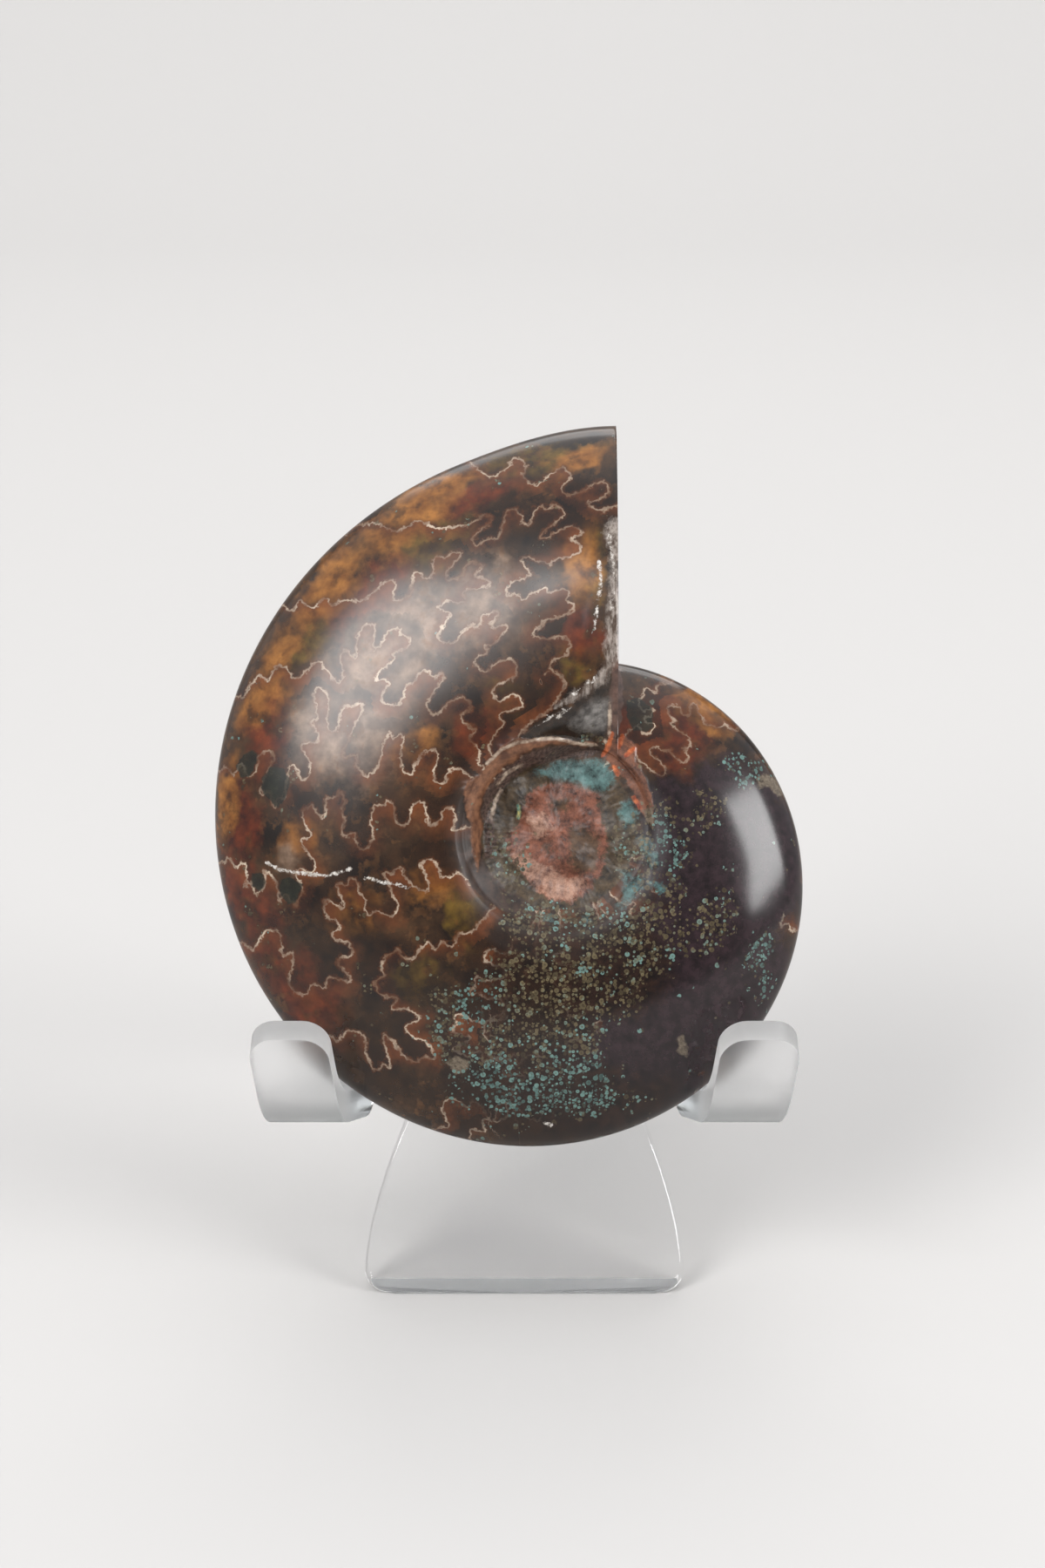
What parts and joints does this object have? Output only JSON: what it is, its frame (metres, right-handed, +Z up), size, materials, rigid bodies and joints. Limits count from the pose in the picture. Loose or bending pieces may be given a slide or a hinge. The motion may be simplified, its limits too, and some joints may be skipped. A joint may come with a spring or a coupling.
{
  "type": "fossil ammonite",
  "caption": "Cut and polished fossil ammonite with sutured flanks and a matrix-filled navel, leaning on a clear bent acrylic easel.",
  "frame": {"origin": "on the ground, under the middle of the whole's bounding box", "axes": "+Z up, -Y towards the viewer and the stone's shown face, +X to the right along the easel's feet"},
  "size_m": [0.0674, 0.0768, 0.099],
  "materials": {
    "polished_calcite": "polished stone, brown and amber calcite with cream suture lines",
    "clear_acrylic": "clear acrylic, polished"
  },
  "bodies": {
    "root": {"ammonite": "polished_calcite", "stand": "clear_acrylic"}
  },
  "joints": []
}
